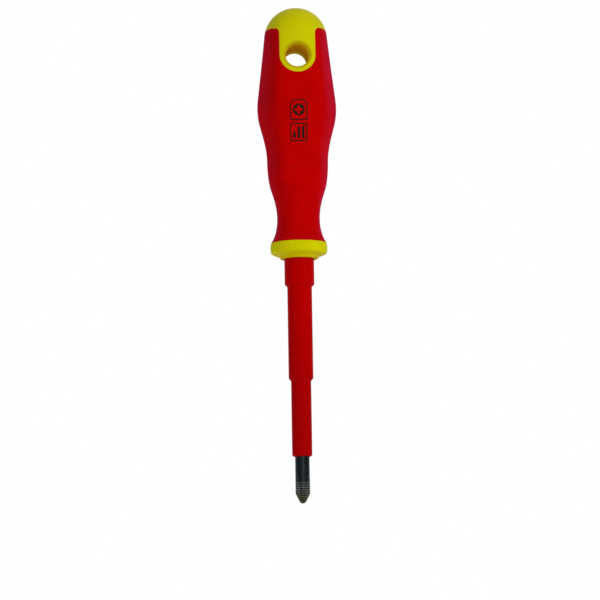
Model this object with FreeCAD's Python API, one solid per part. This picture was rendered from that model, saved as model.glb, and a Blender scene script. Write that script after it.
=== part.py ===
import FreeCAD, Part
import math
import os
from FreeCAD import Vector

# Insulated cross-tip screwdriver, size 2, 100 mm class.
# Frame: origin on the tool axis at the blade's nose, +Z towards the butt,
# -Y is the printed front face, +-X are the two soft side ridges of the handle.
# All dimensions in millimetres, angles in degrees.

# ---------------------------------------------------------------- dimensions
# blade
BAR_R = 3.00                 # round bar
TIP_R = 3.06                 # slightly upset cross-tip end
NOSE = [(0.35, 0.0), (0.68, 0.12), (0.96, 0.30),    # (r, z)
        (1.21, 0.54), (1.45, 0.85), (1.68, 1.22)]
CONE_Z = 4.05                # where the point's cone meets the upset tip
CONE_ROUND = [(-0.10, -0.20), (-0.025, -0.01), (0.0, 0.18)]  # (r from TIP_R, z from CONE_Z)
UPSET_TAPER_Z = (9.3, 10.2)  # taper from the tip's radius down to the bar's
BLADE_END_Z = 172.0          # buried end of the bar
BLADE_CHAMFER = 0.8

FLUTE_ANGLE = 92.0           # included angle of each flute
FLUTE_ROOT = 0.74            # flute root's distance from the axis at the nose
FLUTE_SLOPE = 5.75           # flute root's slope
FLUTE_STRAIGHT_Z = 5.7       # straight run of each flute
FLUTE_CUTTER_R = 6.5         # wheel radius of the flute's run-out
FLUTE_REACH = 5.0            # how far the V cutter extends outwards from its root
FLUTE_OVERLAP = 0.02         # overlap of the straight and wheel cutters

RIB_PITCH = 0.97             # anti-slip grooves across the tip
RIB_WIDTH = 0.42
RIB_DEPTH = 0.11
RIB_FIRST_Z = 0.95
RIB_COUNT = 9

WING_Z = (150.0, 159.0)      # wings pressed out of the bar against turning
WING_SPAN = 9.6
WING_THICK = 2.6
WING_RAMP = 2.2              # length along Z of each wing's sloping end
WING_BITE = 0.3              # how far the wing outline starts inside the bar
PINCH_THICK = 3.9            # bar thickness left between the pressed flats

# insulating sleeve on the blade, in three stages
SLEEVE_START_Z = 19.4
SLEEVE_R = (4.18, 5.13, 6.19)
SLEEVE_STEP_Z = (50.9, 90.35)    # lower end of each cone
SLEEVE_CONE = 1.15               # height of each cone
SLEEVE_END_ROUND = 1.05
SLEEVE_TOP_Z = 130.0
SLEEVE_TOP_CHAMFER = 1.2
SLEEVE_RING_Z = (112.5, 117.5, 122.5)
SLEEVE_RING_W = 1.8
SLEEVE_RING_R = 5.35             # bottom of the ring grooves

# guard collar, outlines as (r, z)
COLLAR_TOP_Z = 108.70
COLLAR_TOP_R = 11.64
COLLAR_SOCKET_R = 8.70
COLLAR_SOCKET_Z = 104.9
COLLAR_FLANK = [(COLLAR_TOP_R, COLLAR_TOP_Z), (11.83, 108.05), (11.90, 107.35),
                (11.89, 106.5), (11.84, 105.7), (11.74, 105.02)]
COLLAR_UNDERSIDE = [COLLAR_FLANK[-1], (11.58, 104.62), (11.25, 104.28), (10.40, 103.88),
                    (9.40, 103.50), (8.66, 103.24), (8.26, 103.02)]
COLLAR_LIP = [COLLAR_UNDERSIDE[-1], (8.12, 102.66), (7.80, 102.30), (7.25, 102.08),
              (6.62, 102.18), (SLEEVE_R[2], 102.52)]

# handle envelope: (z, half width at the side ridges)
RIDGE = [
    (COLLAR_TOP_Z, COLLAR_TOP_R), (109.15, 11.42), (109.65, 11.15), (110.10, 10.90),
    (110.70, 10.57), (111.40, 10.27), (112.20, 9.96), (113.10, 9.68), (114.70, 9.31),
    (116.40, 9.04), (118.10, 8.92), (119.60, 8.90), (121.50, 8.99), (123.20, 9.19),
    (124.90, 9.50), (126.60, 9.90), (128.30, 10.39), (130.00, 10.93), (131.70, 11.46),
    (133.40, 11.88), (135.10, 12.19), (136.80, 12.40), (138.50, 12.55), (140.20, 12.66),
    (142.00, 12.73), (144.00, 12.78), (145.60, 12.86), (147.20, 13.03), (148.90, 13.30),
    (150.60, 13.61), (152.30, 13.98), (154.00, 14.42), (155.70, 14.88), (157.40, 15.34),
    (159.10, 15.77), (160.80, 16.12), (162.50, 16.36), (164.20, 16.51), (165.80, 16.55),
    (167.50, 16.48), (169.20, 16.33), (171.00, 16.12), (173.00, 15.88), (176.00, 15.51),
    (180.00, 15.02), (184.00, 14.54), (188.00, 14.09), (192.00, 13.64), (195.00, 13.31),
    (196.30, 13.16),
]
DOME_Z = 195.5               # centre and radius of the domed butt
DOME_R = 13.19
GATE_R = 1.0                 # small flat gate mark on the dome's crown
DOME_STEPS = 7               # sections from the last listed level to the crown
FRONT_RATIO = 0.905          # front/back flat distance over ridge half width
SIDE_TILT = 25.0             # side flats lean back from the ridge by this angle
SOFTNESS = 16.0              # exponent that rounds the ridge between two side flats
FRONT_BLEND = 7.5            # exponent that rounds the front and back flats into the sides
FACETS_START_Z = (121.0, 143.0)  # round below, fully faceted above
FACETS_END_Z = (189.0, 206.0)    # fully faceted below, round above
SECTION_POINTS = 72

# z of the handle sections, then equal angular steps round the dome
LEVELS = [COLLAR_TOP_Z, 109.80, 111.0, 112.2, 113.8, 115.8, 118.0, 120.4, 122.8, 125.0, 127.2,
          129.4, 131.6, 133.8, 136.4, 139.4, 142.6, 145.6, 148.4, 151.0, 153.6, 156.2,
          158.8, 161.2, 163.6, 165.9, 168.2, 171.0, 174.5, 178.5, 183.0, 187.5, 191.5,
          194.5, 196.3, 198.0, 199.7, 201.3]
DOME_START_ANGLE = math.acos((LEVELS[-1] - DOME_Z) / DOME_R)
CROWN_ANGLE = math.asin(GATE_R / DOME_R)
LEVELS += [DOME_Z + DOME_R * math.cos(DOME_START_ANGLE
                                      + (CROWN_ANGLE - DOME_START_ANGLE) * k / DOME_STEPS)
           for k in range(1, DOME_STEPS + 1)]
LEVEL_GAP = 1.0              # listed levels this close to a shorter loft's ends are left out

# end cap, tongues and the hanging hole
HOLE_Z = 186.7
HOLE_R = 5.0
HOLE_ROUND = 0.5
TONGUE_R = 7.5               # half width of the tongue and radius of its end
HORN_Z = 198.9               # top of the grip's two side horns
HORN_ROUND = 2.5
CAP_BOTTOM_Z = 174.5

# tenon of the core in the cap
TENON = (12.0, 9.0)          # x by y
TENON_TOP_Z = 179.0
TENON_ROUND = 1.5
TENON_NOTCH_Z = (175.9, 177.1)
TENON_NOTCH = 0.6

# core
SKIN = 3.0                   # thickness of the soft grip over the core and cap
NECK_R = 6.95
CORE_FLARE_Z = 112.2         # where the core's own shape starts above its foot
INNER_TOP_Z = 197.0
FOOT_R = NECK_R - 0.25       # foot's upper part, just inside the neck
FOOT_CONE = 1.2              # height of the foot's cone above the collar
FOOT_OVERLAP = 2.0           # how far the foot reaches into the flared part
CORE_RIB_W = 2.4             # four long ribs that stop the grip turning
CORE_RIB_H = 1.3
CORE_RIB_X = (4.0, 34.0)     # radial reach of a rib before it is trimmed
CORE_RIB_Z = (134.0, 170.0)
CORE_GROOVE_Z = (140.0, 152.0, 164.0)
CORE_GROOVE_W = 2.4
CORE_GROOVE_D = 0.9
GRIP_KEY_R = (9.3, 10.2)     # ring of grip material let into the collar's top
GRIP_KEY_DEPTH = 1.1
SNAP_Z = 106.9               # snap bead between core and collar
SNAP_R = 0.45                # its height beyond the socket's radius
SNAP_HALF_W = 0.4

# printed pictograms on the front face
INK = 0.06
MARK_W = 7.2
MARK_LINE = 0.42
CORNER_ROUND = 0.5
INNER_CORNER_ROUND = 0.3
FRAME_Z = (158.6, 167.4)     # frame round the cross-tip sign
FRAME_ROUND = 2.4            # its two upper corners
DISC_R = 2.45
CROSS_HALF_WIDTH = 0.62
CROSS_HALF_LENGTH = 1.75
BARS_Z = (150.1, 157.4)      # frame round the three bars
BAR_MARGIN = 1.2
BAR_HEIGHTS = (2.6, 4.6, BARS_Z[1] - BARS_Z[0] - 2 * BAR_MARGIN)
BAR_WIDTH = 0.95
BAR_PITCH = 1.85
BAR_FIRST_X = -2.3           # left side of the first bar
SLAB_THICK = 1.0             # thickness of the flat slabs that carry the mark outlines

CLEAR = 80.0                 # size of tools that pass right through the handle
ORIGIN = Vector(0, 0, 0)
AXIS = Vector(0, 0, 1)
SQRT_HALF = math.sqrt(0.5)


# ---------------------------------------------------------------- shape helpers
def lines(points):
    """Straight edges in the XZ plane through (x, z) points."""
    return [Part.makeLine(Vector(x0, 0, z0), Vector(x1, 0, z1))
            for (x0, z0), (x1, z1) in zip(points, points[1:])]


def arc(start, middle, end):
    return Part.Arc(*[Vector(x, 0, z) for x, z in (start, middle, end)]).toShape()


def spline(points):
    curve = Part.BSplineCurve()
    curve.interpolate([Vector(x, 0, z) for x, z in points])
    return curve.toShape()


def revolve(edges):
    """Solid of revolution about Z from a closed outline in XZ."""
    return Part.Face(Part.Wire(edges)).revolve(ORIGIN, AXIS, 360)


def plate(edges, thickness):
    """Closed XZ outline thickened equally to both sides of Y = 0."""
    solid = Part.Face(Part.Wire(edges)).extrude(Vector(0, thickness, 0))
    solid.translate(Vector(0, -thickness / 2, 0))
    return solid


def box(x_range, y_range, z_range):
    (x0, x1), (y0, y1), (z0, z1) = x_range, y_range, z_range
    return Part.makeBox(x1 - x0, y1 - y0, z1 - z0, Vector(x0, y0, z0))


def centred_box(x_size, y_size, z0, z1):
    return Part.makeBox(x_size, y_size, z1 - z0, Vector(-x_size / 2, -y_size / 2, z0))


def ring(inner_r, outer_r, z0, z1):
    outer, inner = [Part.makeCylinder(r, z1 - z0, Vector(0, 0, z0), AXIS)
                    for r in (outer_r, inner_r)]
    return outer.cut(inner)


def solids_of(shape):
    """The shape's single solid, or one compound of its solids, without slivers."""
    found = [s for s in shape.Solids if s.Volume > 1e-4]
    return found[0] if len(found) == 1 else Part.makeCompound(found)


# ---------------------------------------------------------------- handle envelope
def monotone_cubic(table, z):
    """Monotone cubic interpolation through a table of (z, value)."""
    stations, values = zip(*table)
    spans = [b - a for a, b in zip(stations, stations[1:])]
    chords = [(b - a) / span for a, b, span in zip(values, values[1:], spans)]
    slopes = [chords[0]]
    for i in range(1, len(spans)):
        before, after = chords[i - 1], chords[i]
        slope = 0.0
        if before * after > 0:
            weight_before = 2 * spans[i] + spans[i - 1]
            weight_after = spans[i] + 2 * spans[i - 1]
            slope = ((weight_before + weight_after)
                     / (weight_before / before + weight_after / after))
        slopes.append(slope)
    slopes.append(chords[-1])
    i = 0
    while i < len(spans) - 1 and z > stations[i + 1]:
        i += 1
    t = (z - stations[i]) / spans[i]
    return ((1 + 2 * t) * (1 - t) ** 2 * values[i] + t * (1 - t) ** 2 * spans[i] * slopes[i]
            + t * t * (3 - 2 * t) * values[i + 1] + t * t * (t - 1) * spans[i] * slopes[i + 1])


def ease(z_range, z):
    """Smooth step from 0 to 1 over the range."""
    low, high = z_range
    t = min(max((z - low) / (high - low), 0.0), 1.0)
    return t * t * (3 - 2 * t)


def ridge(z):
    """Half width of the handle at its side ridges."""
    if z <= RIDGE[-1][0]:
        return monotone_cubic(RIDGE, z)
    return math.sqrt(DOME_R ** 2 - (z - DOME_Z) ** 2)


def roundness(z):
    """1 where the handle is round, 0 where it is fully faceted."""
    return max(1.0 - ease(FACETS_START_Z, z), ease(FACETS_END_Z, z))


def facet(theta):
    """Section radius over ridge half width, for the faceted form."""
    # this scale makes the result 1 at the ridges
    side_scale = math.cos(math.radians(SIDE_TILT)) * 2 ** (1 / SOFTNESS)
    total = 0.0
    for angle in (SIDE_TILT, -SIDE_TILT, 180 - SIDE_TILT, 180 + SIDE_TILT):
        facing = math.cos(theta - math.radians(angle))
        if facing > 0:
            total += (facing / side_scale) ** SOFTNESS
    side = total ** (1 / SOFTNESS)
    front = abs(math.sin(theta)) / FRONT_RATIO
    return (side ** FRONT_BLEND + front ** FRONT_BLEND) ** (-1 / FRONT_BLEND)


def section(z, inset, least_r):
    """Closed handle section at z, moved in by inset but never inside least_r."""
    points = []
    for i in range(SECTION_POINTS):
        theta = 2 * math.pi * i / SECTION_POINTS + math.pi / SECTION_POINTS
        blend = roundness(z)
        shape = (1 - blend) * facet(theta) + blend
        r = max(ridge(z) * shape - inset, least_r)
        points.append(Vector(r * math.cos(theta), r * math.sin(theta), z))
    curve = Part.BSplineCurve()
    curve.interpolate(Points=points, PeriodicFlag=True,
                      Parameters=[i / SECTION_POINTS for i in range(SECTION_POINTS + 1)])
    return Part.Wire([curve.toShape()])


def envelope(levels, inset=0.0, least_r=0.0):
    return Part.makeLoft([section(z, inset, least_r) for z in levels], True, False)


def levels_between(z0, z1):
    return [z0] + [z for z in LEVELS if z0 + LEVEL_GAP < z < z1 - LEVEL_GAP] + [z1]


# ---------------------------------------------------------------- blade
def blade_round(inset):
    """The turned bar and point, radii reduced by inset."""
    tip, bar = TIP_R - inset, BAR_R - inset
    nose = [(r - inset, z) for r, z in NOSE]
    shoulder = [(tip + r, CONE_Z + z) for r, z in CONE_ROUND]
    return revolve(
        lines([(0, 0), nose[0]])
        + [spline(nose)]
        + lines([nose[-1], shoulder[0]])
        + [arc(*shoulder)]
        + lines([shoulder[-1], (tip, UPSET_TAPER_Z[0]), (bar, UPSET_TAPER_Z[1]),
                 (bar, BLADE_END_Z - BLADE_CHAMFER), (bar - BLADE_CHAMFER, BLADE_END_Z),
                 (0, BLADE_END_Z), (0, 0)]))


def flute_cutter(inset):
    """One V flute on the +X side: a sloping prism, then a wheel for the run-out."""
    half_angle = math.radians(FLUTE_ANGLE / 2)
    slope = math.radians(FLUTE_SLOPE)
    half_width = FLUTE_REACH * math.tan(half_angle)
    root = FLUTE_ROOT - inset / math.sin(half_angle)
    triangles = []
    for z in (-1.0, FLUTE_STRAIGHT_Z):
        x = root + math.tan(slope) * z
        triangles.append(Part.makePolygon([
            Vector(x, 0, z), Vector(x + FLUTE_REACH, half_width, z),
            Vector(x + FLUTE_REACH, -half_width, z), Vector(x, 0, z)]))
    prism = Part.makeLoft(triangles, True, True)
    # x is now the root at the end of the straight run; the wheel is tangent to it there
    centre = Vector(x + FLUTE_CUTTER_R * math.cos(slope), 0,
                    FLUTE_STRAIGHT_Z - FLUTE_CUTTER_R * math.sin(slope))
    rim = -FLUTE_CUTTER_R
    outline = [(rim, 0), (rim + FLUTE_REACH, half_width), (0, half_width),
               (0, -half_width), (rim + FLUTE_REACH, -half_width), (rim, 0)]
    wheel = Part.Face(Part.makePolygon([centre + Vector(x, y, 0) for x, y in outline]))
    wheel = wheel.revolve(centre, Vector(0, 1, 0), 360)
    keep_z = FLUTE_STRAIGHT_Z - FLUTE_OVERLAP
    return prism.fuse(wheel.common(box((-5, 15), (-20, 20), (keep_z, keep_z + 20))))


def fluted(inset):
    body = blade_round(inset)
    cutter = flute_cutter(inset)
    for angle in (45, 135, 225, 315):
        tool = cutter.copy()
        tool.rotate(ORIGIN, AXIS, angle)
        body = body.cut(tool)
    return body


def build_wing():
    z0, z1 = WING_Z
    root_x, edge_x = -BAR_R + WING_BITE, -WING_SPAN / 2
    left = [(root_x, z0), (edge_x, z0 + WING_RAMP), (edge_x, z1 - WING_RAMP), (root_x, z1)]
    right = [(-x, z) for x, z in reversed(left)]
    return plate(lines(left + right + left[:1]), WING_THICK)


def build_blade():
    body = fluted(0.0)
    # shallow grooves at a constant pitch, cut to one depth all round the section
    under = fluted(RIB_DEPTH)
    for i in range(RIB_COUNT):
        z = RIB_FIRST_Z + i * RIB_PITCH
        body = body.cut(centred_box(12, 12, z, z + RIB_WIDTH).cut(under))
    body = solids_of(body)
    # the bar is pinched between two flats and spreads sideways into the wings
    for side in (1, -1):
        y_range = sorted((side * PINCH_THICK / 2, side * (BAR_R + 1)))
        body = body.cut(box((-4, 4), y_range, WING_Z))
    return solids_of(body.fuse(build_wing()).removeSplitter())


# ---------------------------------------------------------------- sleeve
def build_sleeve():
    r1, r2, r3 = SLEEVE_R
    step1, step2 = SLEEVE_STEP_Z
    start, top = SLEEVE_START_Z, SLEEVE_TOP_Z
    rounding = SLEEVE_END_ROUND
    sagitta = rounding * (1 - SQRT_HALF)
    outline = [(r1, start + rounding), (r1, step1), (r2, step1 + SLEEVE_CONE),
               (r2, step2), (r3, step2 + SLEEVE_CONE)]
    for z in SLEEVE_RING_Z:
        outline += [(r3, z), (SLEEVE_RING_R, z),
                    (SLEEVE_RING_R, z + SLEEVE_RING_W), (r3, z + SLEEVE_RING_W)]
    outline += [(r3, top - SLEEVE_TOP_CHAMFER), (r3 - SLEEVE_TOP_CHAMFER, top),
                (BAR_R, top), (BAR_R, start)]
    return revolve(
        lines([(BAR_R, start), (r1 - rounding, start)])
        + [arc((r1 - rounding, start), (r1 - sagitta, start + sagitta), outline[0])]
        + lines(outline))


# ---------------------------------------------------------------- collar
def snap_bead():
    """Ring shared by the core's bead and the collar's groove."""
    return ring(COLLAR_SOCKET_R - 1, COLLAR_SOCKET_R + SNAP_R,
                SNAP_Z - SNAP_HALF_W, SNAP_Z + SNAP_HALF_W)


def grip_key(top_z):
    return ring(*GRIP_KEY_R, COLLAR_TOP_Z - GRIP_KEY_DEPTH, top_z)


def build_collar():
    # bulged band, sloping underside, rounded lip, then the bore and the core's socket
    socket_rim = (COLLAR_SOCKET_R, COLLAR_TOP_Z)
    body = revolve(
        lines([socket_rim, COLLAR_FLANK[0]])
        + [spline(COLLAR_FLANK), spline(COLLAR_UNDERSIDE), spline(COLLAR_LIP)]
        + lines([COLLAR_LIP[-1], (SLEEVE_R[2], COLLAR_SOCKET_Z),
                 (COLLAR_SOCKET_R, COLLAR_SOCKET_Z), socket_rim]))
    return body.cut(snap_bead()).cut(grip_key(COLLAR_TOP_Z + 1))


# ---------------------------------------------------------------- core
def build_inner():
    """Core and cap interior as one body, before they are parted at the cap's lower face."""
    return envelope(levels_between(CORE_FLARE_Z, INNER_TOP_Z), SKIN, NECK_R)


def build_tenon():
    """Rounded block for the end cap, with a shallow locking notch all round."""
    x, y = TENON
    tenon = centred_box(x, y, CAP_BOTTOM_Z - 1, TENON_TOP_Z)
    upright = [e for e in tenon.Edges if abs(e.tangentAt(e.FirstParameter).z) > 0.9]
    tenon = tenon.makeFillet(TENON_ROUND, upright)
    around = centred_box(x + 2, y + 2, *TENON_NOTCH_Z)
    waist = centred_box(x - 2 * TENON_NOTCH, y - 2 * TENON_NOTCH, *TENON_NOTCH_Z)
    return tenon.cut(around.cut(waist))


def build_core(inner):
    body = inner.common(centred_box(CLEAR, CLEAR, 100, CAP_BOTTOM_Z))
    foot_top = CORE_FLARE_Z + FOOT_OVERLAP
    foot = revolve(lines([
        (0, COLLAR_SOCKET_Z), (COLLAR_SOCKET_R, COLLAR_SOCKET_Z), (COLLAR_SOCKET_R, COLLAR_TOP_Z),
        (FOOT_R, COLLAR_TOP_Z + FOOT_CONE), (FOOT_R, foot_top), (0, foot_top),
        (0, COLLAR_SOCKET_Z)]))
    body = body.fuse(foot)
    body = body.fuse(snap_bead())
    # ring grooves that hold the grip along the axis
    for z in CORE_GROOVE_Z:
        floor_r = ridge(z) * FRONT_RATIO - SKIN - CORE_GROOVE_D
        body = body.cut(ring(floor_r, 30, z, z + CORE_GROOVE_W))
    # long ribs that carry torque into the grip, one behind each face and ridge
    raised = envelope(levels_between(*CORE_RIB_Z), SKIN - CORE_RIB_H)
    for angle in (0, 90, 180, 270):
        rib = box(CORE_RIB_X, (-CORE_RIB_W / 2, CORE_RIB_W / 2), CORE_RIB_Z)
        rib.rotate(ORIGIN, AXIS, angle)
        body = body.fuse(rib.common(raised))
    return body.fuse(build_tenon())


# ---------------------------------------------------------------- end cap and grip
def cap_window():
    """Tool over everything the cap owns at the surface: dome and tongues."""
    r, far, top = TONGUE_R, CLEAR / 2, 230
    horn_x, horn_side_z = r + HORN_ROUND, HORN_Z - HORN_ROUND
    mid_x = horn_x - HORN_ROUND * SQRT_HALF
    mid_z = horn_side_z + HORN_ROUND * SQRT_HALF
    return plate(
        lines([(-far, HORN_Z), (-horn_x, HORN_Z)])
        + [arc((-horn_x, HORN_Z), (-mid_x, mid_z), (-r, horn_side_z))]
        + lines([(-r, horn_side_z), (-r, HOLE_Z)])
        + [arc((-r, HOLE_Z), (0, HOLE_Z - r), (r, HOLE_Z))]
        + lines([(r, HOLE_Z), (r, horn_side_z)])
        + [arc((r, horn_side_z), (mid_x, mid_z), (horn_x, HORN_Z))]
        + lines([(horn_x, HORN_Z), (far, HORN_Z), (far, top), (-far, top), (-far, HORN_Z)]),
        CLEAR)


def is_hole_rim(edge):
    """True for edges round the hanging hole's mouths, not those running through it."""
    first, last = edge.FirstParameter, edge.LastParameter
    points = [edge.valueAt(first + (last - first) * k / 6) for k in range(7)]
    on_wall = all(abs(math.hypot(p.x, p.z - HOLE_Z) - HOLE_R) < 0.02 for p in points)
    spread = max(p.y for p in points) - min(p.y for p in points)
    return on_wall and spread < 3.0 and edge.Length > 0.5


def build_cap(outer, window, inside, core):
    cap = outer.common(window).fuse(inside)
    hole = Part.makeCylinder(HOLE_R, CLEAR, Vector(0, -CLEAR / 2, HOLE_Z), Vector(0, 1, 0))
    cap = cap.cut(hole)
    cap = cap.makeFillet(HOLE_ROUND, [e for e in cap.Edges if is_hole_rim(e)])
    return cap.cut(core)


def build_grip(outer, window, inside, core):
    """The envelope less everything inside it, keyed into the collar."""
    return outer.cut(window).cut(inside).cut(core).fuse(grip_key(COLLAR_TOP_Z))


# ---------------------------------------------------------------- printed marks
def rounded_slab(width, z0, z1, top_round, bottom_round):
    def across(edge):
        return abs(edge.BoundBox.YLength - SLAB_THICK) < 1e-6

    slab = centred_box(width, SLAB_THICK, z0, z1)
    tops = [e for e in slab.Edges if across(e) and e.BoundBox.ZMin > z1 - 1e-6]
    slab = slab.makeFillet(top_round, tops)
    bottoms = [e for e in slab.Edges if across(e) and e.BoundBox.ZMax < z0 + 1e-6]
    return slab.makeFillet(bottom_round, bottoms)


def mark_frame(z_range, top_round, inner_top_round):
    z0, z1 = z_range
    outside = rounded_slab(MARK_W, z0, z1, top_round, CORNER_ROUND)
    opening = rounded_slab(MARK_W - 2 * MARK_LINE, z0 + MARK_LINE, z1 - MARK_LINE,
                           inner_top_round, INNER_CORNER_ROUND)
    return outside.cut(opening)


def tip_mark_slabs():
    """A frame round a disc with a cross cut out of it."""
    frame = mark_frame(FRAME_Z, FRAME_ROUND, FRAME_ROUND - MARK_LINE)
    z = sum(FRAME_Z) / 2
    disc = Part.makeCylinder(DISC_R, SLAB_THICK, Vector(0, -SLAB_THICK / 2, z), Vector(0, 1, 0))
    arms = [centred_box(2 * half_x, SLAB_THICK, z - half_z, z + half_z)
            for half_x, half_z in ((CROSS_HALF_LENGTH, CROSS_HALF_WIDTH),
                                   (CROSS_HALF_WIDTH, CROSS_HALF_LENGTH))]
    return [frame, disc.cut(arms[0].fuse(arms[1]))]


def bar_mark_slabs():
    """A frame round three bars of rising height."""
    slabs = [mark_frame(BARS_Z, CORNER_ROUND, INNER_CORNER_ROUND)]
    z = BARS_Z[0] + BAR_MARGIN
    for i, height in enumerate(BAR_HEIGHTS):
        x = BAR_FIRST_X + i * BAR_PITCH
        slabs.append(box((x, x + BAR_WIDTH), (-SLAB_THICK / 2, SLAB_THICK / 2), (z, z + height)))
    return slabs


def build_ink(outer):
    """Ink-thick layer over the front of the handle."""
    skin = envelope([z for z in LEVELS if 140 < z < 180], -INK)
    return skin.cut(outer).common(box((-20, 20), (-40, 0), (120, 200)))


def printed(slabs, ink):
    """The parts of the ink layer in front of the slabs' front faces."""
    pieces = []
    for slab in slabs:
        for face in slab.Faces:
            if abs(face.normalAt(0, 0).y + 1) < 1e-6:
                pieces += ink.common(face.extrude(Vector(0, -30, 0))).Solids
    return Part.makeCompound(pieces)


# ---------------------------------------------------------------- build
def main():
    os.makedirs("parts", exist_ok=True)
    outer = envelope(LEVELS)
    blade = build_blade()
    sleeve = build_sleeve()
    inner = build_inner()
    core = build_core(inner)
    window = cap_window()
    inside = inner.common(centred_box(CLEAR, CLEAR, CAP_BOTTOM_Z, CAP_BOTTOM_Z + 60))
    ink = build_ink(outer)
    parts = {
        "blade": blade,
        "blade_sleeve": sleeve.cut(blade),
        "guard_collar": build_collar(),
        # the sleeve is seated in the core, and the blade in both
        "handle_core": core.cut(sleeve.fuse(blade)),
        "end_cap": build_cap(outer, window, inside, core),
        "grip": build_grip(outer, window, inside, core),
        "printed_tip_mark": printed(tip_mark_slabs(), ink),
        "printed_bar_mark": printed(bar_mark_slabs(), ink),
    }
    for name, shape in parts.items():
        solids_of(shape).exportStep("parts/%s.step" % name)


main()
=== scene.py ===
"""A hand tool with a fluted steel point, a stepped sleeve, a soft grip and a domed butt cap.

The axis is Z: the point is at z = 0 and the dome at the top. The handle's broad ridges lie
along +X and -X. The front, which carries the printed marks and faces the camera, is -Y; the
hanging hole runs from front to back. Shapes are in millimetres until add_mesh turns them
into metres; the floor, lights and camera are in metres.
"""
import math

import bpy
import bmesh
import numpy as np
from mathutils import Matrix, Vector


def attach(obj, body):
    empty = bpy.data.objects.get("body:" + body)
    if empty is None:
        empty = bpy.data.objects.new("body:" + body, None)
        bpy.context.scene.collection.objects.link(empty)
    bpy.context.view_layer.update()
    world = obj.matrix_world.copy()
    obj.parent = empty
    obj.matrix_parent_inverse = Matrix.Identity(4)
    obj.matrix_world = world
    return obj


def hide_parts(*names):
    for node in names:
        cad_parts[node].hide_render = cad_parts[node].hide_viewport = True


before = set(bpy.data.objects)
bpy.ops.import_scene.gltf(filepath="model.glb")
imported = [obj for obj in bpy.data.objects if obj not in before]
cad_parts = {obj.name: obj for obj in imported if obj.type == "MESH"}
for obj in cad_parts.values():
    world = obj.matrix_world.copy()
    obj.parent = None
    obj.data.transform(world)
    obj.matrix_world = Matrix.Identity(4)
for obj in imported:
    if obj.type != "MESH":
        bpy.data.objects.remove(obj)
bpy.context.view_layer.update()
MM = 0.001

# ------------------------------------------------------------------ the handle's surface
# (z, distance of the ridge from the axis)
RIDGE = np.array([
    (108.70, 11.64), (109.15, 11.42), (109.65, 11.15), (110.10, 10.90), (110.70, 10.57),
    (111.40, 10.27), (112.20, 9.96), (113.10, 9.68), (114.70, 9.31), (116.40, 9.04),
    (118.10, 8.92), (119.60, 8.90), (121.50, 8.99), (123.20, 9.19), (124.90, 9.50),
    (126.60, 9.90), (128.30, 10.39), (130.00, 10.93), (131.70, 11.46), (133.40, 11.88),
    (135.10, 12.19), (136.80, 12.40), (138.50, 12.55), (140.20, 12.66), (142.00, 12.73),
    (144.00, 12.78), (145.60, 12.86), (147.20, 13.03), (148.90, 13.30), (150.60, 13.61),
    (152.30, 13.98), (154.00, 14.42), (155.70, 14.88), (157.40, 15.34), (159.10, 15.77),
    (160.80, 16.12), (162.50, 16.36), (164.20, 16.51), (165.80, 16.55), (167.50, 16.48),
    (169.20, 16.33), (171.00, 16.12), (173.00, 15.88), (176.00, 15.51), (180.00, 15.02),
    (184.00, 14.54), (188.00, 14.09), (192.00, 13.64), (195.00, 13.31), (196.30, 13.16)])
RIDGE_Z, RIDGE_R = RIDGE.T
DOME_Z, DOME_R = 195.5, 13.19      # centre height and radius of the dome

# The flattened cross section: four tilted side facets and two flatter faces, front and back
FRONT_RATIO = 0.905                # half depth over half width
SIDE_TILT = 25.0                   # degrees between a side facet's normal and the X axis
SIDE_POWER = 16.0                  # higher makes the corner between side facets harder
FRONT_POWER = 7.5                  # higher makes the corner between side and front harder
SIDE_REACH = math.cos(math.radians(SIDE_TILT)) * 2 ** (1 / SIDE_POWER)
ROUND_BELOW = (121.0, 143.0)       # the section goes from round to faceted
ROUND_ABOVE = (189.0, 206.0)       # and from faceted back to round

GRIP_Z = 108.70                    # lower end of the grip, on the collar
WALL = 2.6                         # thickness of grip and cap
GRIP_ROUND, CAP_ROUND = 0.20, 0.10  # edge rounding of each along the seam


def pchip_slopes(x, y):
    """Slopes at the points for a cubic curve that doesn't overshoot them."""
    step = np.diff(x)
    rise = np.diff(y) / step
    slopes = np.zeros(len(x))
    slopes[0], slopes[-1] = rise[0], rise[-1]
    for i in range(1, len(x) - 1):
        if rise[i - 1] * rise[i] > 0:
            before = 2 * step[i] + step[i - 1]
            after = step[i] + 2 * step[i - 1]
            slopes[i] = (before + after) / (before / rise[i - 1] + after / rise[i])
    return slopes


RIDGE_SLOPE = pchip_slopes(RIDGE_Z, RIDGE_R)


def ridge(z):
    """Distance of the ridge from the axis: the table's curve, then the dome's circle."""
    z = np.asarray(z, float)
    held = np.clip(z, RIDGE_Z[0], RIDGE_Z[-1])
    i = np.clip(np.searchsorted(RIDGE_Z, held, side="right") - 1, 0, len(RIDGE_Z) - 2)
    step = RIDGE_Z[i + 1] - RIDGE_Z[i]
    t = (held - RIDGE_Z[i]) / step
    curve = ((1 + 2 * t) * (1 - t) ** 2 * RIDGE_R[i] + t * (1 - t) ** 2 * step * RIDGE_SLOPE[i]
             + t * t * (3 - 2 * t) * RIDGE_R[i + 1] + t * t * (t - 1) * step * RIDGE_SLOPE[i + 1])
    dome = np.sqrt(np.maximum(DOME_R ** 2 - (z - DOME_Z) ** 2, 0.0))
    return np.where(z <= RIDGE_Z[-1], curve, dome)


def ease(start, end, z):
    """Smooth step from 0 at start to 1 at end."""
    t = np.clip((np.asarray(z, float) - start) / (end - start), 0, 1)
    return t * t * (3 - 2 * t)


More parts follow.
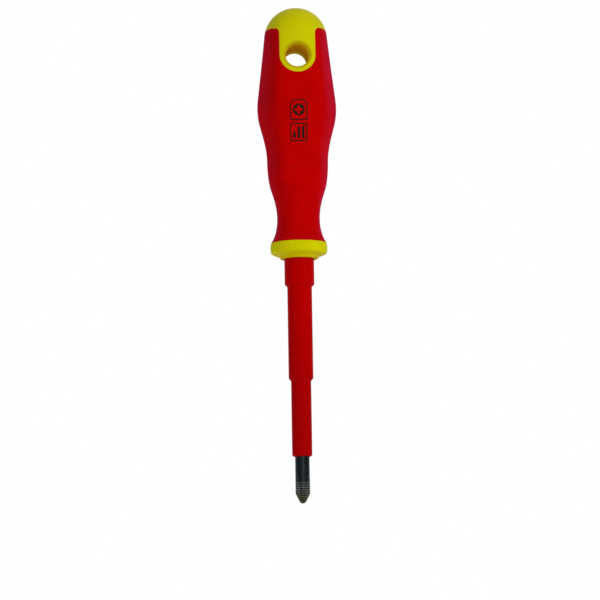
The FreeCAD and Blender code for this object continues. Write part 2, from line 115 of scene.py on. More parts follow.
def facet(theta):
    """Radius of the faceted section, as a share of the ridge's."""
    total = np.zeros(np.shape(theta))
    for angle in (SIDE_TILT, -SIDE_TILT, 180 - SIDE_TILT, 180 + SIDE_TILT):
        facing = np.maximum(np.cos(theta - math.radians(angle)), 0)
        total = total + (facing / SIDE_REACH) ** SIDE_POWER
    side = total ** (1 / SIDE_POWER)
    front = np.abs(np.sin(theta)) / FRONT_RATIO
    return (side ** FRONT_POWER + front ** FRONT_POWER) ** (-1 / FRONT_POWER)


def radius(theta, z):
    theta, z = np.broadcast_arrays(np.asarray(theta, float), np.asarray(z, float))
    roundness = np.maximum(1 - ease(*ROUND_BELOW, z), ease(*ROUND_ABOVE, z))
    return ridge(z) * ((1 - roundness) * facet(theta) + roundness)


def polar(r, theta, z):
    x = r * np.cos(theta)
    return np.stack([x, r * np.sin(theta), np.broadcast_to(z, x.shape)], -1)


def surface(theta, z, drop=0.0):
    """Points on the handle, sunk towards the axis by drop."""
    return polar(radius(theta, z) - drop, theta, z)


def bisect(is_low, low, high, rounds):
    """Narrows low..high round the place where is_low turns false."""
    for _ in range(rounds):
        middle = (low + high) / 2
        below = is_low(middle)
        low, high = np.where(below, middle, low), np.where(below, high, middle)
    return low, high


def theta_of_x(x, z):
    """Angle, 0 to 90 degrees from the +X ridge, at which the surface has the given x >= 0."""
    x, z = np.broadcast_arrays(np.asarray(x, float), np.asarray(z, float))
    low, high = bisect(lambda theta: radius(theta, z) * np.cos(theta) > x,
                       np.zeros(x.shape), np.full(x.shape, math.pi / 2), 50)
    return (low + high) / 2


def y_of(x, z):
    """Distance of the front surface from the XZ plane at (x, z)."""
    theta = theta_of_x(np.abs(x), z)
    return radius(theta, z) * np.sin(theta)


def front_points(x, z, drop=0.0):
    return np.stack([x, drop - y_of(x, z), z], -1)


# ------------------------------------------------------------------ mesh helpers
def weld(verts, faces, tolerance):
    """Merges vertices closer than the tolerance and drops collapsed faces."""
    verts = np.asarray(verts, float)
    key = np.round(verts / tolerance).astype(np.int64)
    _, first, inverse = np.unique(key, axis=0, return_index=True, return_inverse=True)
    inverse = inverse.reshape(-1)
    kept = []
    for face in faces:
        merged = [inverse[i] for i in face]
        merged = [v for k, v in enumerate(merged) if v != merged[k - 1]]
        if len(set(merged)) >= 3:
            kept.append(merged)
    return verts[first], kept


def add_mesh(name, patches, tolerance=1e-4):
    """Makes a smooth object, normals outward, from a Patchwork in millimetres."""
    verts, faces = weld(patches.verts, patches.faces, tolerance)
    mesh = bpy.data.meshes.new(name)
    mesh.from_pydata([tuple(p * MM) for p in verts], [],
                     [tuple(int(i) for i in face) for face in faces])
    mesh.validate()
    bm = bmesh.new()
    bm.from_mesh(mesh)
    loose = [v for v in bm.verts if not v.link_faces]
    if loose:
        bmesh.ops.delete(bm, geom=loose, context="VERTS")
    bmesh.ops.recalc_face_normals(bm, faces=bm.faces)
    if bm.calc_volume(signed=True) < 0:
        bmesh.ops.reverse_faces(bm, faces=bm.faces)
    bm.to_mesh(mesh)
    bm.free()
    for polygon in mesh.polygons:
        polygon.use_smooth = True
    obj = bpy.data.objects.new(name, mesh)
    bpy.context.scene.collection.objects.link(obj)
    return obj


class Patchwork:
    """Collects grids of points as quads; welding joins them where they meet."""

    def __init__(self):
        self.verts, self.faces = [], []

    def grid(self, points, wrap=False, flip=False):
        points = np.asarray(points, float)
        rows, columns = points.shape[:2]
        base = len(self.verts)
        self.verts.extend(points.reshape(-1, 3))
        for i in range(rows - 1):
            for j in range(columns if wrap else columns - 1):
                row, after = base + i * columns, (j + 1) % columns
                quad = [row + j, row + after, row + columns + after, row + columns + j]
                self.faces.append([quad[0], *quad[:0:-1]] if flip else quad)

    def bridge(self, first, second, **options):
        self.grid(np.stack([first, second]), **options)

    def fan(self, ring, centre, flip=False):
        centres = np.repeat(np.asarray(centre)[None], len(ring), 0)
        self.bridge(ring, centres, wrap=True, flip=flip)


def lathe(name, profile, segments):
    """Closed (r, z) outline turned about Z."""
    outline = np.asarray(profile, float)
    outline = np.vstack([outline, outline[:1]])
    theta = np.arange(segments) * 2 * math.pi / segments
    patches = Patchwork()
    patches.grid(polar(outline[:, 0, None], theta, outline[:, 1, None]), wrap=True)
    return add_mesh(name, patches)


def densify(profile, longest):
    """Splits the sides of a closed outline so that none is longer than given."""
    points = []
    for start, end in zip(profile, profile[1:] + profile[:1]):
        start, end = np.array(start, float), np.array(end, float)
        count = max(1, int(math.ceil(np.linalg.norm(end - start) / longest)))
        points += [tuple(start + (end - start) * k / count) for k in range(count)]
    return points


def rounded_profile(corners, steps):
    """Outline from (r, z, rounding) corners, each with an arc of its rounding."""
    points = []
    count = len(corners)
    for i, (*_, rounding) in enumerate(corners):
        before, here, after = (np.array(corners[k % count][:2], float)
                               for k in (i - 1, i, i + 1))
        if rounding <= 0:
            points.append(tuple(here))
            continue
        back = (before - here) / np.linalg.norm(before - here)
        ahead = (after - here) / np.linalg.norm(after - here)
        angle = math.acos(float(back @ ahead))
        reach = rounding / math.tan(angle / 2)
        bisector = (back + ahead) / np.linalg.norm(back + ahead)
        centre = here + bisector * rounding / math.sin(angle / 2)
        start, end = (math.atan2(*(here + way * reach - centre)[::-1]) for way in (back, ahead))
        sweep = (end - start + math.pi) % (2 * math.pi) - math.pi
        points += [(centre[0] + rounding * math.cos(start + sweep * k / steps),
                    centre[1] + rounding * math.sin(start + sweep * k / steps))
                   for k in range(steps + 1)]
    return points


def curve_points(points, per_span):
    """Centripetal Catmull-Rom curve through (r, z) points."""
    ctrl = np.array(points, float)
    ctrl = np.vstack([2 * ctrl[0] - ctrl[1], ctrl, 2 * ctrl[-1] - ctrl[-2]])
    curve = []
    for i in range(1, len(ctrl) - 2):
        near = ctrl[i - 1:i + 3]
        knots = [0.0]
        for k in range(3):
            knots.append(knots[-1] + np.linalg.norm(near[k + 1] - near[k]) ** 0.5)
        for k in range(per_span):
            t = knots[1] + (knots[2] - knots[1]) * k / per_span

            def between(first, second, start, end):
                span = knots[end] - knots[start]
                return (knots[end] - t) / span * first + (t - knots[start]) / span * second

            legs = [between(near[j], near[j + 1], j, j + 1) for j in range(3)]
            bends = [between(legs[j], legs[j + 1], j, j + 2) for j in range(2)]
            curve.append(tuple(between(*bends, 1, 2)))
    curve.append(tuple(ctrl[-2]))
    return curve


def lip(distance, rounding):
    """How far a surface drops near its edge, so that the edge is a quarter round."""
    within = np.clip(rounding - np.maximum(distance, 0), 0, rounding)
    return rounding - np.sqrt(np.maximum(rounding * rounding - within * within, 0))


# ------------------------------------------------------------------ where grip meets cap
# At front and back a tongue of the cap runs down between the grip's two horns, which rise
# along the ridges. The tongue ends in a half circle round the hanging hole.
HOLE_Z, HOLE_R = 186.7, 5.0
TONGUE_R = 7.5                     # half width of the tongue and radius of its end
TONGUE_LOW = HOLE_Z - TONGUE_R
HORN_Z, HORN_ROUND = 198.9, 2.5    # flat top of the horns and the rounding of their corners
CORNER_Z = HORN_Z - HORN_ROUND     # where that rounding starts
HORN_X = TONGUE_R + HORN_ROUND     # and where it ends
CORNER_ANGLES = [8, 16, 24, 32, 40, 48, 55, 61, 66, 70.5, 75, 79, 82.5, 86, 90]
EDGE_GAPS = [0, 0.02, 0.05, 0.09, 0.14, 0.20, 0.28, 0.40, 0.60, 0.90]
NICK_X, NICK_WIDTH, NICK_HEIGHT, NICK_DEPTH = -9.4, 0.32, 0.8, 0.62


def seam_x(z):
    """Half width of the tongue at height z."""
    z = np.asarray(z, float)
    low = np.sqrt(np.maximum(TONGUE_R ** 2 - np.minimum(z - HOLE_Z, 0) ** 2, 0))
    low = np.where(z < TONGUE_LOW, 0, low)
    rise = np.clip((z - CORNER_Z) / HORN_ROUND, 0, 1)
    flare = HORN_X - HORN_ROUND * np.sqrt(np.maximum(1 - rise * rise, 0))
    return np.where(z > CORNER_Z, flare, low)


def seam_distance(x, z):
    """Distance from the seam, positive on the grip's side."""
    x = np.abs(x)
    below = np.hypot(x, z - HOLE_Z) - TONGUE_R
    corner = HORN_ROUND - np.hypot(x - HORN_X, z - CORNER_Z)
    side = np.minimum(x - TONGUE_R, HORN_Z - z)
    return np.where(z < HOLE_Z, below, np.where((x < HORN_X) & (z > CORNER_Z), corner, side))


def cut_nick(points):
    """Lowers the points round a small nick at the top front edge of the -X horn."""
    x, y, z = np.moveaxis(points, -1, 0)
    points[..., 2] -= (NICK_DEPTH * np.exp(-((x - NICK_X) / NICK_WIDTH) ** 2)
                       * np.exp(-((z - HORN_Z) / NICK_HEIGHT) ** 2) * (y < 0))


# ------------------------------------------------------------------ soft grip
TONGUE_END_ANGLES = [2, 4, 6, 8.5, 11, 14, 17, 20, 23.5, 27, 31, 35, 40, 45, 50, 55, 60, 65,
                     70, 75, 80, 85, 90]
GIRTH = 20.82                      # nominal arc length from the seam to the ridge
EVEN_GIRTH = 20.2                  # evenly spaced columns stop here
RIDGE_GIRTHS = [20.35, 20.48, 20.58, 20.64, 20.70, 20.76]
PARTING_HEIGHT, PARTING_WIDTH = 0.035, 0.09


def grip_rows():
    """Heights of the rows, closer together at the edges."""
    rows = [GRIP_Z + gap for gap in EDGE_GAPS]
    rows += list(np.linspace(rows[-1], TONGUE_LOW - EDGE_GAPS[-1], 92)[1:])
    rows += [TONGUE_LOW - gap for gap in reversed(EDGE_GAPS[:-1])]
    rows += [HOLE_Z - TONGUE_R * math.cos(math.radians(a)) for a in TONGUE_END_ANGLES]
    rows += list(np.linspace(HOLE_Z, CORNER_Z, 15)[1:])
    rows += [CORNER_Z + HORN_ROUND * math.sin(math.radians(a)) for a in CORNER_ANGLES]
    return np.array(rows)


def grip_columns():
    """Column places: 0 is the front seam, 1 the ridge and 2 the back seam."""
    even = np.linspace(EDGE_GAPS[-1], EVEN_GIRTH, 44)[1:]
    share = np.concatenate([EDGE_GAPS, even, RIDGE_GIRTHS]) / GIRTH
    return np.concatenate([share, [1.0], 2 - share[::-1]])


def build_grip():
    rows = grip_rows()
    first_seam_row = int(np.argmin(np.abs(rows - TONGUE_LOW)))
    beside = slice(first_seam_row, None)
    seam_z = rows[beside]
    seam = seam_x(seam_z)
    seam_depth = y_of(seam, seam_z) - WALL
    from_ridge = theta_of_x(seam_x(rows), rows)[:, None] * (grip_columns()[None, :] - 1)
    z = np.broadcast_to(rows[:, None], from_ridge.shape).copy()
    patches = Patchwork()
    for side in (1, -1):
        left = side == -1
        theta = math.pi - from_ridge if left else from_ridge
        x = surface(theta, z)[..., 0]
        to_edge = np.minimum(seam_distance(x, z), z - GRIP_Z)
        to_edge = np.where(z < TONGUE_LOW - 1.5, z - GRIP_Z, to_edge)
        # a faint raised line along the ridge fades out just above the lower edge
        parting = (PARTING_HEIGHT * np.exp(-(from_ridge * radius(theta, z) / PARTING_WIDTH) ** 2)
                   * ease(GRIP_Z + 0.5, GRIP_Z + 3, z))
        skin = surface(theta, z, lip(to_edge, GRIP_ROUND) - parting)
        cut_nick(skin)
        patches.grid(skin, flip=left)
        # along the tongue the inner skin keeps the seam's x, so the wall goes straight in
        inner = surface(theta, z, WALL)
        for column, facing in ((0, -1), (-1, 1)):
            inner[beside, column] = np.stack([side * seam, facing * seam_depth, seam_z], -1)
        patches.grid(inner, flip=not left)
        patches.bridge(inner[0], skin[0], flip=left)
        patches.bridge(skin[-1], inner[-1], flip=left)
        for column in (0, -1):
            patches.bridge(skin[beside, column], inner[beside, column],
                           flip=left ^ (column == 0))
    return add_mesh("grip_skin", patches)


# ------------------------------------------------------------------ domed butt cap
FRONT_ROUND, BACK_ROUND = 1.0, 0.5  # rounding of the hole's rim
RIM_R = HOLE_R + FRONT_ROUND
BACK_FLAT_RADII = [5.83, 5.66, 5.50]  # rings on the back face between RIM_R and its rounding
HIDDEN_WALL_R = 6.4                # radius of the hidden side of the hole's wall
RIDGE_COLUMNS = 26                 # columns over each horn
# Columns across the tongue, as shares of its half width
TONGUE_GAPS = np.array([0, 0.02, 0.05, 0.08, 0.12, 0.2, 0.35]) / 8
TONGUE_SHARES = np.concatenate([-1 + TONGUE_GAPS, np.linspace(-1 + 0.6 / 8, 1 - 0.6 / 8, 29),
                                1 - TONGUE_GAPS[::-1]])
ACROSS = len(TONGUE_SHARES)
# Rings between the hole's rim and the tongue's edge, as shares of the way
PANEL_SHARES = np.array([0, 0.12, 0.3, 0.5, 0.7, 0.82, 0.9, 0.95, 0.975, 0.99, 1.0])
DOME_GAPS = (0, 0.02, 0.05, 0.09, 0.15)  # rows just above the horns
POLE_ANGLE = 0.035                 # radians from the axis to the last ring of the dome
POLE_SHRINK, POLE_SINK = 0.75, 0.05  # small sunk flat at the pole
BLEND_ROWS = 12                    # rows over which the dome's inner skin leaves the grip's
FAR = 9.0                          # stands for "away from any edge"


def cap_drop(x, z):
    """Rounding drop of the tongue's skin; none across its middle or at the horns' top."""
    inward = np.where(z < HORN_Z - 1e-9, -seam_distance(x, z), FAR)
    inward = np.where((np.abs(x) < TONGUE_R - 0.5) & (z > HOLE_Z), FAR, inward)
    return lip(inward, CAP_ROUND)


def clear_of_hole(x, z):
    """Moves points of the hidden skin outward, clear of the hole's own wall."""
    up = z - HOLE_Z
    r = np.hypot(x, up)
    moved = HIDDEN_WALL_R + (r - RIM_R) * (TONGUE_R - HIDDEN_WALL_R) / (TONGUE_R - RIM_R)
    scale = np.where(r < TONGUE_R, moved / r, 1.0)
    return x * scale, np.where(r < TONGUE_R, HOLE_Z + up * scale, z)


def panel_outline():
    """Tongue edge below CORNER_Z: top from +X to -X, then -X side, round end, +X side."""
    outline = [(TONGUE_R * share, CORNER_Z) for share in TONGUE_SHARES[::-1]]
    outline += [(-TONGUE_R, z) for z in np.linspace(CORNER_Z, HOLE_Z, 15)[1:]]
    outline += [(TONGUE_R * math.cos(angle), HOLE_Z + TONGUE_R * math.sin(angle))
                for angle in np.linspace(math.pi, 2 * math.pi, 45)[1:]]
    outline += [(TONGUE_R, z) for z in np.linspace(HOLE_Z, CORNER_Z, 15)[1:-1]]
    return np.array(outline)


def dome_columns(front_x):
    """Angles right round: front tongue, +X horn, back tongue, -X horn."""
    turn = theta_of_x(np.abs(front_x), HORN_Z)
    front = -np.where(front_x >= 0, turn, math.pi - turn)
    corner = float(theta_of_x(HORN_X, HORN_Z))
    right = np.linspace(-corner, corner, RIDGE_COLUMNS + 1)
    left = np.linspace(math.pi - corner, math.pi + corner, RIDGE_COLUMNS + 1)
    return np.concatenate([front[:-1], right[:-1], -front[::-1][:-1], left[:-1]])


def add_dome(patches, columns):
    """Adds the dome's two skins and returns their lowest rings."""
    start = math.acos((HORN_Z - DOME_Z) / DOME_R)
    curve = DOME_Z + DOME_R * np.cos(np.linspace(start, POLE_ANGLE, 40))
    rows = np.concatenate([[HORN_Z + gap for gap in DOME_GAPS], curve[1:]])
    theta, z = np.meshgrid(columns, rows)
    plain = surface(theta, z)
    over_horn = np.abs(plain[..., 0]) > HORN_X - 1e-6
    skin = surface(theta, z, np.where(over_horn, lip(z - HORN_Z, CAP_ROUND), 0))
    cut_nick(skin)
    centre = np.array([0, 0, DOME_Z - 1.0])
    reach = np.linalg.norm(plain - centre, axis=-1)
    inner = centre + (plain - centre) * ((reach - WALL) / reach)[..., None]
    # the lowest inner row is level with the horns' top
    for i, share in enumerate(np.linspace(1, 0, BLEND_ROWS)):
        inner[i] = surface(theta[i], z[i], WALL) * share + inner[i] * (1 - share)
    patches.grid(skin, wrap=True)
    patches.grid(inner, wrap=True, flip=True)
    middle = skin[-1].mean(0)
    flat = middle + (skin[-1] - middle) * POLE_SHRINK
    flat[:, 2] -= POLE_SINK
    patches.bridge(skin[-1], flat, wrap=True)
    patches.fan(flat, flat.mean(0))
    patches.fan(inner[-1], inner[-1].mean(0), flip=True)
    return skin[0], inner[0]


def hole_rim(panel_ring, alpha, flat_radii, rounding):
    """Rings from the panel's inner ring over the rounded rim to the hole's wall."""
    psi = np.radians(np.arange(10, 91, 10))
    r = np.concatenate([flat_radii, HOLE_R + rounding * (1 - np.sin(psi))])
    drop = np.concatenate([np.zeros(len(flat_radii)), rounding * (1 - np.cos(psi))])
    x = r[:, None] * np.cos(alpha)[None]
    z = HOLE_Z + r[:, None] * np.sin(alpha)[None]
    return np.concatenate([panel_ring[None], front_points(x, z, drop[:, None])])


def facing(points, side):
    """A copy of front points, mirrored to the back where side is -1."""
    turned = points.copy()
    turned[..., 1] *= side
    return turned


def build_cap():
    patches = Patchwork()
    # strip of the tongue between the horns' rounded corners
    strip_rows = CORNER_Z + HORN_ROUND * np.sin(np.radians([0] + CORNER_ANGLES))
    strip_x = seam_x(strip_rows)[:, None] * TONGUE_SHARES[None, :]
    strip_z = np.broadcast_to(strip_rows[:, None], strip_x.shape)
    strip = front_points(strip_x, strip_z, cap_drop(strip_x, strip_z))
    strip_inner = front_points(strip_x, strip_z, WALL)

    columns = dome_columns(strip_x[-1])
    dome_ring, dome_inner_ring = add_dome(patches, columns)

    # panel from the hole's rim out to the tongue's edge; its top shares the strip's points
    outline = panel_outline()
    alpha = np.unwrap(np.arctan2(outline[:, 1] - HOLE_Z, outline[:, 0]))
    rim = np.stack([RIM_R * np.cos(alpha), HOLE_Z + RIM_R * np.sin(alpha)], -1)
    flat = rim[None] + (outline - rim)[None] * PANEL_SHARES[:, None, None]
    panel_x, panel_z = flat[..., 0], flat[..., 1]
    panel = front_points(panel_x, panel_z, cap_drop(panel_x, panel_z))
    panel[-1, :ACROSS] = strip[0][::-1]
    panel_inner = front_points(*clear_of_hole(panel_x, panel_z), WALL)
    panel_inner[-1, :ACROSS] = strip_inner[0][::-1]
    seam_columns = list(range(ACROSS - 1, len(outline))) + [0]

    back_start = ACROSS - 1 + RIDGE_COLUMNS
    hole_edges = []
    for side, ring_columns, flat_radii, rounding in (
            (1, np.arange(ACROSS), [], FRONT_ROUND),
            (-1, np.arange(back_start, back_start + ACROSS)[::-1], BACK_FLAT_RADII, BACK_ROUND)):
        back = side == -1
        skin, inner = facing(strip, side), facing(strip_inner, side)
        cut_nick(skin)
        skin[-1], inner[-1] = dome_ring[ring_columns], dome_inner_ring[ring_columns]
        face, face_inner = facing(panel, side), facing(panel_inner, side)
        rim_rings = facing(hole_rim(panel[0], alpha, flat_radii, rounding), side)
        hole_edges.append(rim_rings[-1])
        patches.grid(skin, flip=back)
        patches.grid(inner, flip=not back)
        patches.grid(face, wrap=True, flip=not back)
        patches.grid(face_inner, wrap=True, flip=back)
        patches.grid(rim_rings, wrap=True, flip=back)
        for column in (0, -1):
            patches.bridge(skin[:, column], inner[:, column], flip=back ^ (column == 0))
        patches.bridge(face[-1][seam_columns], face_inner[-1][seam_columns], flip=not back)

    # the hole's wall and its hidden side
    hidden_edges = [panel_inner[0], facing(panel_inner[0], -1)]
    way = np.linspace(0, 1, 22)[:, None, None]
    for (front, back), flip in ((hole_edges, False), (hidden_edges, True)):
        patches.grid(front[None] * (1 - way) + back[None] * way, wrap=True, flip=flip)
    # level walls on top of the horns, +X then -X
    for start in (ACROSS - 1, back_start + ACROSS - 1):
        horn = np.arange(start, start + RIDGE_COLUMNS + 1) % len(columns)
        patches.bridge(dome_ring[horn], dome_inner_ring[horn])
    return add_mesh("butt_cap", patches, tolerance=2e-4)


# ------------------------------------------------------------------ guard collar
SLEEVE_R = 6.19                    # widest part of the sleeve, which fills the collar's bore
# (r, z) points down the outside, round the lower lip, and up the inside
COLLAR_BAND = [(11.64, GRIP_Z), (11.83, 108.05), (11.90, 107.35), (11.89, 106.5),
               (11.84, 105.7), (11.74, 105.02), (11.58, 104.62), (11.25, 104.28),
               (10.40, 103.88), (9.40, 103.50), (8.66, 103.24), (8.26, 103.02)]
COLLAR_LIP = [COLLAR_BAND[-1], (8.12, 102.66), (7.80, 102.30), (7.25, 102.08),
              (6.62, 102.18), (SLEEVE_R, 102.52)]
COLLAR_INSIDE = [(SLEEVE_R, 104.9), (8.70, 104.9), (8.70, GRIP_Z), (9.3, GRIP_Z),
                 (9.3, 107.60), (10.2, 107.60), (10.2, GRIP_Z)]


def build_collar():
    outside = curve_points(COLLAR_BAND, 6)[:-1] + curve_points(COLLAR_LIP, 6)
    return lathe("collar_ring", outside + COLLAR_INSIDE, segments=160)


# ------------------------------------------------------------------ stepped sleeve
BORE_R = 3.01
# (r, z, rounding) corners of the lower steps and of the top end
SLEEVE_STEPS = [(BORE_R, 19.52, 0), (3.12, 19.40, 0), (4.18, 19.40, 1.0), (4.18, 50.9, 0.30),
                (5.13, 52.05, 0.25), (5.13, 90.35, 0.30), (SLEEVE_R, 91.5, 0.25)]
SLEEVE_TOP = [(SLEEVE_R, 128.8, 0), (4.99, 130.0, 0), (BORE_R, 130.0, 0)]
GROOVE_Z, GROOVE_PITCH, GROOVE_COUNT, GROOVE_WIDTH, GROOVE_R = 112.5, 5.0, 3, 1.8, 5.35


def build_sleeve():
    corners = list(SLEEVE_STEPS)
    for i in range(GROOVE_COUNT):
        z = GROOVE_Z + i * GROOVE_PITCH
        corners += [(SLEEVE_R, z, 0), (GROOVE_R, z, 0),
                    (GROOVE_R, z + GROOVE_WIDTH, 0), (SLEEVE_R, z + GROOVE_WIDTH, 0)]
    outline = rounded_profile(corners + SLEEVE_TOP, steps=8)
    return lathe("sleeve_tube", densify(outline, longest=1.6), segments=128)


# ------------------------------------------------------------------ blade
# Four V flutes deepen towards the point and run out along a round cutter's path.
FLUTE_ROOT = 0.74                  # distance of the flute's root from the axis at z = 0
FLUTE_SLOPE = math.tan(math.radians(5.75))
FLUTE_Z, CUTTER_R = 5.7, 6.5       # where the run-out starts, and its radius
FLUTE_HALF_ANGLE = math.radians(46.0)
FLUTE_SPREAD = math.tan(FLUTE_HALF_ANGLE)
NO_FLUTE = 99.0                    # a radius beyond the bar
EDGE_BLEND = 0.045                 # softening between flute and turned surface
RIB_PITCH, RIB_WIDTH, RIB_DEPTH, RIB_Z, RIB_COUNT = 0.97, 0.42, 0.11, 0.95, 9
# (z, radius) of the turned bar
TURNED = np.array([
    (0, 0.35), (0.05, 0.50), (0.12, 0.68), (0.20, 0.82), (0.30, 0.96), (0.41, 1.09),
    (0.54, 1.21), (0.69, 1.34), (0.85, 1.45), (1.03, 1.57), (1.22, 1.68), (3.80, 2.936),
    (3.90, 2.985), (4.00, 3.02), (4.10, 3.045), (4.23, 3.06), (9.3, 3.06), (10.2, 3.00),
    (171.2, 3.00), (172.0, 2.2)])
# (z, reach along X) of the pinched wings that anchor the bar in the handle
WINGS = np.array([(149.95, 2.7), (150.0, 2.7), (152.2, 4.8), (156.8, 4.8), (159.0, 2.7),
                  (159.05, 2.7)])
WING_LOW, WING_HIGH = 150, 159
WING_HALF_THICK, PINCHED_HALF_THICK = 1.3, 1.95
BLADE_COLUMNS = 360
BLADE_ROWS = np.concatenate([
    [0, 0.01, 0.03, 0.06, 0.10, 0.15], np.arange(0.20, 12.0, 0.055),
    [12.2, 12.6, 13.2, 14, 15, 16, 17, 18, 19, 20, 22], np.linspace(28, 149.9, 20),
    [149.97, 150.0, 150.7, 151.4, 152.2, 153.5, 155, 156.8, 157.5, 158.3, 159.0, 159.03, 162,
     166, 171.2, 172.0]])


def rib_inset(z):
    """Depth of the shallow grooves between the ribs near the point."""
    inset = np.zeros(np.shape(z))
    for i in range(RIB_COUNT):
        low = RIB_Z + i * RIB_PITCH
        high = low + RIB_WIDTH
        inset = inset + (ease(low - 0.05, low + 0.07, z)
                         * (1 - ease(high - 0.07, high + 0.05, z)))
    return RIB_DEPTH * inset


def flute_radius(phi, z, inset, turned):
    """Radius at which the flute's wall lies, phi away from the flute's middle."""

    def root(height):
        return FLUTE_ROOT - inset / math.sin(FLUTE_HALF_ANGLE) + FLUTE_SLOPE * height

    opening = FLUTE_SPREAD * np.cos(phi) - np.sin(phi)
    straight = np.where(opening > 1e-4, root(z) * FLUTE_SPREAD / np.maximum(opening, 1e-4),
                        NO_FLUTE)
    slope = math.atan(FLUTE_SLOPE)
    cutter_x = root(FLUTE_Z) + CUTTER_R * math.cos(slope)
    cutter_z = FLUTE_Z - CUTTER_R * math.sin(slope)

    def clearance(r):
        depth = CUTTER_R - np.hypot(r * np.cos(phi) - cutter_x, z - cutter_z)
        return FLUTE_SPREAD * depth - r * np.sin(phi)

    limit = turned + 0.6
    _, wall = bisect(lambda r: clearance(r) <= 0, np.zeros(phi.shape), limit, 36)
    run_out = np.where(clearance(limit) > 0, wall, NO_FLUTE)
    return np.minimum(np.where(z <= FLUTE_Z, straight, run_out), turned + 5)


def blade_radius(theta, z):
    inset = rib_inset(z)
    turned = np.interp(z, *TURNED.T) - inset
    phi = np.abs(theta % (math.pi / 2) - math.pi / 4)
    flute = flute_radius(phi, z, inset, turned)
    share = np.clip(0.5 + 0.5 * (flute - turned) / EDGE_BLEND, 0, 1)
    r = flute * (1 - share) + turned * share - EDGE_BLEND * share * (1 - share)
    reach = np.interp(z, *WINGS.T)
    sine = np.maximum(np.abs(np.sin(theta)), 1e-6)
    cosine = np.maximum(np.abs(np.cos(theta)), 1e-6)
    pinched = np.minimum(r, PINCHED_HALF_THICK / sine)
    wing = np.minimum(reach / cosine, WING_HALF_THICK / sine)
    return np.where((z >= WING_LOW) & (z <= WING_HIGH), np.maximum(pinched, wing), r)


def build_blade():
    columns = np.arange(BLADE_COLUMNS) * 2 * math.pi / BLADE_COLUMNS + math.pi / BLADE_COLUMNS
    theta, z = np.meshgrid(columns, BLADE_ROWS)
    skin = polar(blade_radius(theta, z), theta, z)
    patches = Patchwork()
    patches.grid(skin, wrap=True)
    for ring, flip in ((skin[0], False), (skin[-1], True)):
        rings = [ring * np.array([share, share, 1]) for share in (1.0, 0.66, 0.33)]
        patches.grid(np.stack(rings), wrap=True, flip=flip)
        patches.fan(rings[-1], [0, 0, ring[0, 2]], flip=flip)
    return add_mesh("blade_bar", patches)


# ------------------------------------------------------------------ printed marks
INK_HEIGHTS = (0.055, -0.04)       # top and underside of the ink, from the handle's surface
MARK_HALF, LINE = 3.6, 0.42        # half width of a frame and the thickness of its line
TIP_LOW, TIP_HIGH, TIP_TOP_ROUND = 158.6, 167.4, 2.4
DISC_R, CROSS_HALF, CROSS_REACH = 2.45, 0.62, 1.75
BAR_LOW, BAR_HIGH = 150.1, 157.4
FRAME_ROUND, FRAME_INNER_ROUND = 0.5, 0.3
BAR_MARGIN, BAR_X, BAR_PITCH, BAR_WIDTH = 1.2, -2.3, 1.85, 0.95
BAR_HEIGHTS = (2.6, 4.6, BAR_HIGH - BAR_LOW - 2 * BAR_MARGIN)


def film(patches, first, second, across, closed=True):
    """Closed film between two (x, z) outlines that have the same number of points."""
    first, second = np.array(first, float), np.array(second, float)
    share = np.linspace(0, 1, across + 1)[:, None, None]
    flat = first[None] * (1 - share) + second[None] * share
    top, low = (front_points(flat[..., 0], flat[..., 1], -height) for height in INK_HEIGHTS)
    patches.grid(top, wrap=closed)
    patches.grid(low, wrap=closed, flip=True)
    for row in (0, -1):
        patches.bridge(top[row], low[row], wrap=closed, flip=row == 0)
    if not closed:
        for column in (0, -1):
            patches.bridge(top[:, column], low[:, column], flip=column == -1)


def rounded_rect(half, low, high, top_round, low_round, arc_steps=10):
    """Outline in (x, z), anticlockwise from its +x side's top corner."""
    arcs = []
    for x, z, r, start in (
            (half - top_round, high - top_round, top_round, 0),
            (-half + top_round, high - top_round, top_round, 90),
            (-half + low_round, low + low_round, low_round, 180),
            (half - low_round, low + low_round, low_round, 270)):
        angles = [math.radians(start + 90 * k / arc_steps) for k in range(arc_steps + 1)]
        arcs.append([(x + r * math.cos(a), z + r * math.sin(a)) for a in angles])
    outline = []
    for i, side_steps in enumerate((10, 12, 10, 12)):
        outline += arcs[i]
        start, end = np.array(arcs[i][-1]), np.array(arcs[(i + 1) % 4][0])
        outline += [tuple(start + (end - start) * k / side_steps)
                    for k in range(1, side_steps)]
    return outline


def add_frame(patches, low, high, top_round, inner_top_round):
    film(patches, rounded_rect(MARK_HALF, low, high, top_round, FRAME_ROUND),
         rounded_rect(MARK_HALF - LINE, low + LINE, high - LINE, inner_top_round,
                      FRAME_INNER_ROUND), across=1)


def build_tip_mark():
    """A frame round a disc with a cross left open in it."""
    patches = Patchwork()
    add_frame(patches, TIP_LOW, TIP_HIGH, TIP_TOP_ROUND, TIP_TOP_ROUND - LINE)
    centre = (TIP_LOW + TIP_HIGH) / 2
    corner = math.atan2(CROSS_HALF, CROSS_REACH)
    quarter = [*np.linspace(-corner, corner, 7), *np.linspace(corner, math.pi / 2 - corner, 15)]
    # rounding drops the angles that neighbouring arcs share
    angles = sorted({round(k * math.pi / 2 + angle, 9) for k in range(4) for angle in quarter})
    angles = np.array([a for a in angles if a < 2 * math.pi - corner - 1e-6])
    cosine = np.maximum(np.abs(np.cos(angles)), 1e-9)
    sine = np.maximum(np.abs(np.sin(angles)), 1e-9)
    level = np.minimum(CROSS_REACH / cosine, CROSS_HALF / sine)
    upright = np.minimum(CROSS_HALF / cosine, CROSS_REACH / sine)
    disc, cross = (np.stack([r * np.cos(angles), centre + r * np.sin(angles)], -1)
                   for r in (DISC_R, np.maximum(level, upright)))
    film(patches, disc, cross, across=4)
    return add_mesh("ink_tip_mark", patches)


